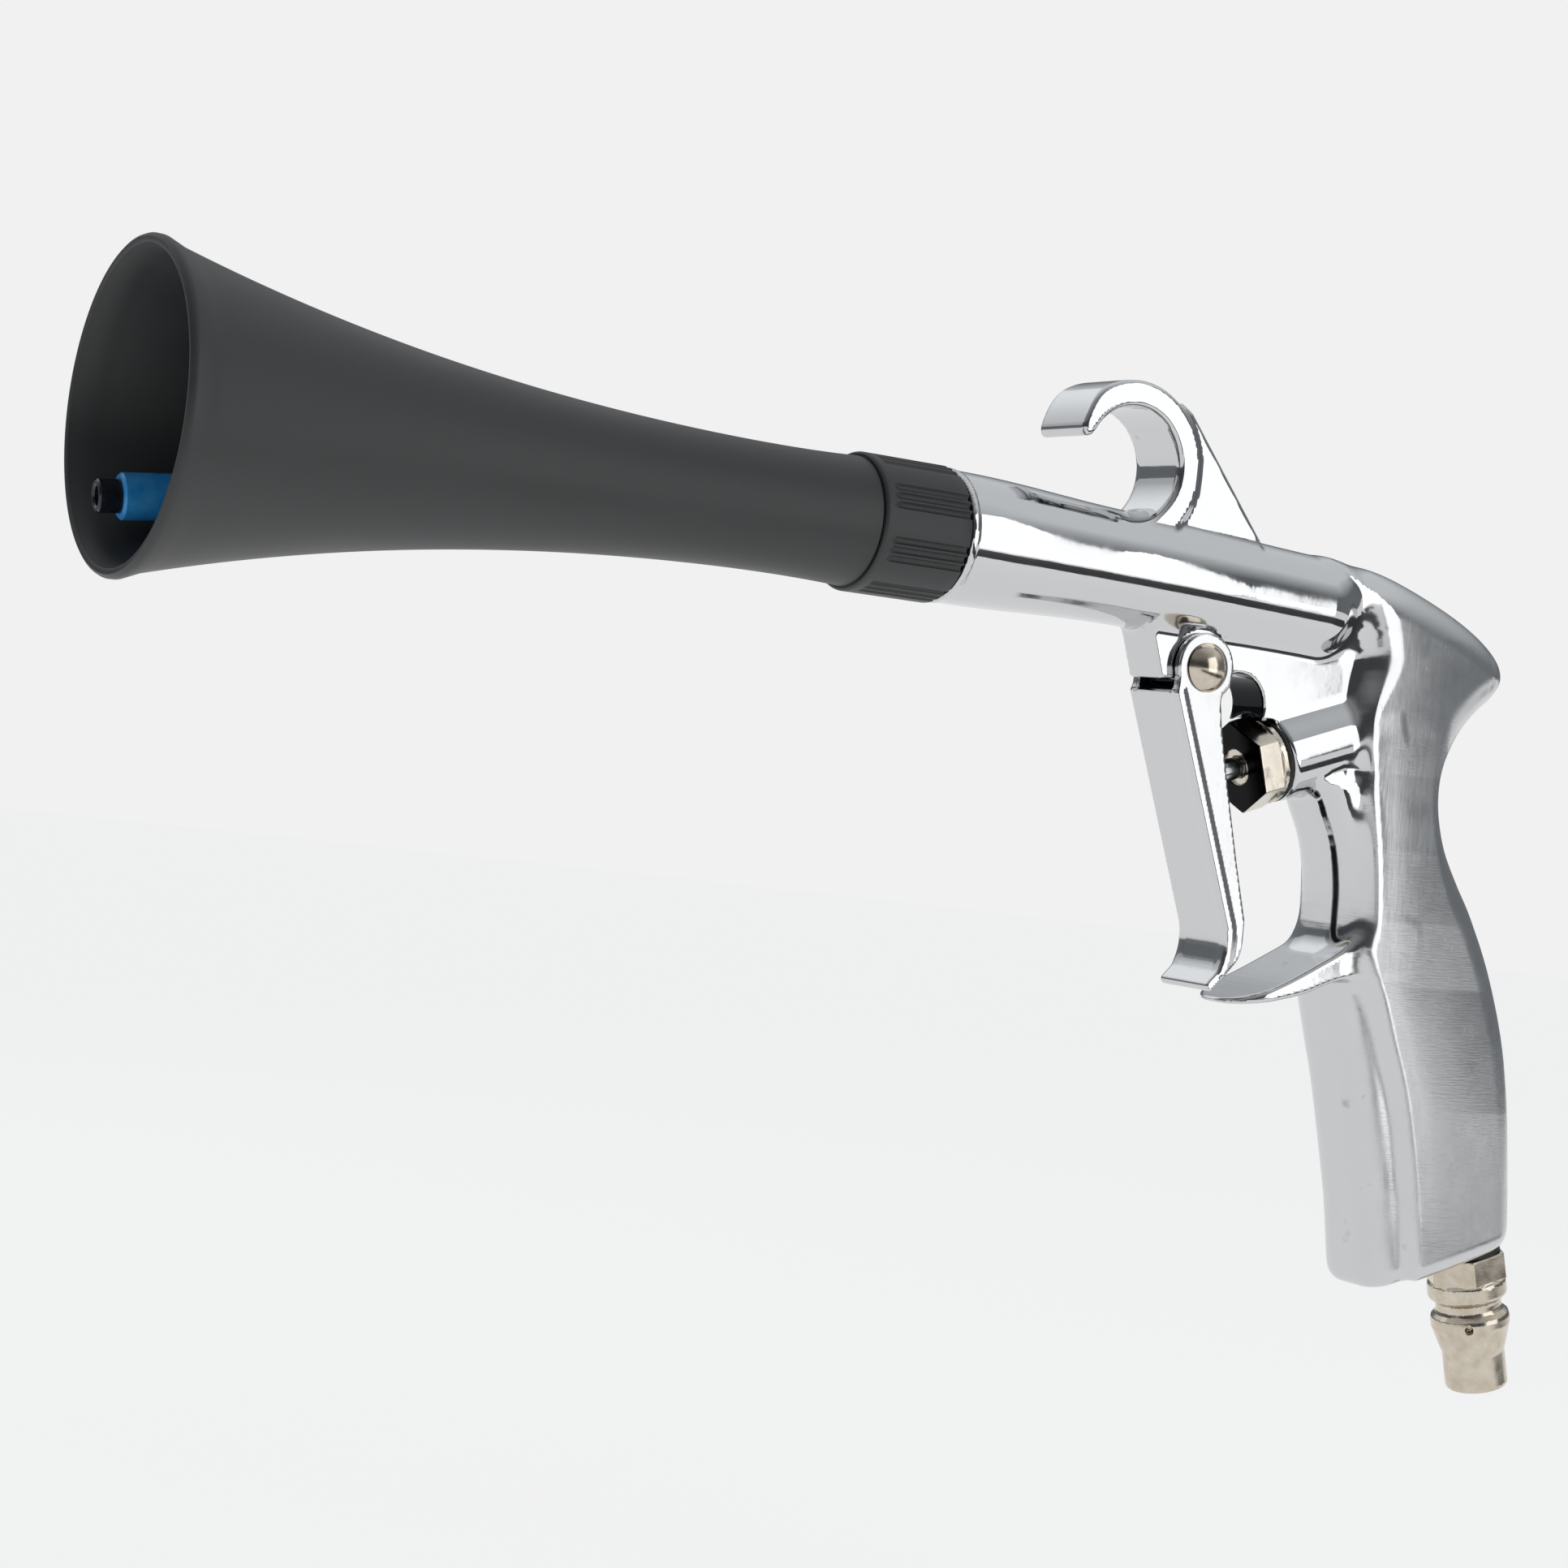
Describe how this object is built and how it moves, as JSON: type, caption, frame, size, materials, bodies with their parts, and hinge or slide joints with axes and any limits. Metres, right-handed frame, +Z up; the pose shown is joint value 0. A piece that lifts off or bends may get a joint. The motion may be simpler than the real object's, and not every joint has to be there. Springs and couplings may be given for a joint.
{
  "type": "compressed-air car dryer gun",
  "caption": "Compressed-air gun for blow-drying cars: cast pistol body, lever trigger, hanging hook, flared cone with a whirling tube inside, and a plug-in air inlet.",
  "frame": {"origin": "centre of the hanging hook's eye, midway between the gun's two sides", "axes": "+X to the rear, away from the cone's mouth and along the barrel; +Y to the right of someone who holds the gun; +Z up, away from the grip"},
  "size_m": [0.2994, 0.0512, 0.18],
  "materials": {
    "cast_aluminium": "cast, belt-ground and polished",
    "trigger_aluminium": "cast and polished",
    "black_plastic": "moulded, satin",
    "black_rubber": "moulded",
    "brass": "turned",
    "bearing_steel": "ground",
    "cage_nylon": "moulded",
    "spring_steel": "drawn wire and stamped strip",
    "tube_nylon": "extruded",
    "blue_sleeve": "extruded, satin",
    "nickel_brass": "turned and nickel plated",
    "white_ptfe": "cut from rod",
    "stainless_steel": "ground rod"
  },
  "bodies": {
    "body": {"gun_body": "cast_aluminium", "cone": "black_plastic", "cone_gasket": "black_rubber", "swivel_housing": "brass", "housing_o_ring": "black_rubber", "front_bearing_outer": "bearing_steel", "rear_bearing_outer": "bearing_steel", "housing_clip": "spring_steel", "pivot_pin": "nickel_brass", "pivot_cap": "nickel_brass", "gland_nut": "nickel_brass", "gland_o_ring": "black_rubber", "stem_o_ring": "black_rubber", "valve_seat": "white_ptfe", "valve_spring": "spring_steel", "air_plug": "nickel_brass", "plug_seal": "black_rubber"},
    "collar": {"collar_nut": "black_plastic"},
    "rotor": {"front_bearing_inner": "bearing_steel", "rear_bearing_inner": "bearing_steel", "bearing_spacer": "bearing_steel", "hub_clip": "spring_steel", "swivel_hub": "brass", "whirl_tube": "tube_nylon", "weight_sleeve": "blue_sleeve"},
    "bearing_cages": {"front_bearing_balls": "bearing_steel", "front_bearing_cage": "cage_nylon", "rear_bearing_balls": "bearing_steel", "rear_bearing_cage": "cage_nylon"},
    "trigger_lever": {"trigger": "trigger_aluminium"},
    "valve": {"valve_stem": "stainless_steel", "poppet_seal": "black_rubber", "valve_poppet": "nickel_brass"}
  },
  "joints": [
    {"name": "collar_turn", "type": "hinge", "parent": "body", "child": "collar", "pos_m": [-0.045, 0, -0.017], "axis": [-1, 0, 0], "range_deg": [0, 90]},
    {"name": "tube_spin", "type": "hinge", "parent": "body", "child": "rotor", "pos_m": [-0.053, 0, -0.017], "axis": [1, 0, 0], "continuous": true},
    {"name": "cage_spin", "type": "hinge", "parent": "body", "child": "bearing_cages", "pos_m": [-0.053, 0, -0.017], "axis": [1, 0, 0], "continuous": true},
    {"name": "trigger_pull", "type": "hinge", "parent": "body", "child": "trigger_lever", "pos_m": [0.0208, 0, -0.0334], "axis": [0, -1, 0], "range_deg": [0, 11], "stiffness_Nm_per_rad": 0.86, "springref_deg": -10.89},
    {"name": "valve_slide", "type": "slide", "parent": "body", "child": "valve", "axis": [0.9489, 0, 0.3156], "range_m": [0, 0.004], "deforming": ["valve_spring"]}
  ],
  "couplings": [
    {"joint": "cage_spin", "follows": "tube_spin", "ratio": 0.3947},
    {"joint": "valve_slide", "follows": "trigger_pull", "m_per_rad": 0.0207}
  ]
}
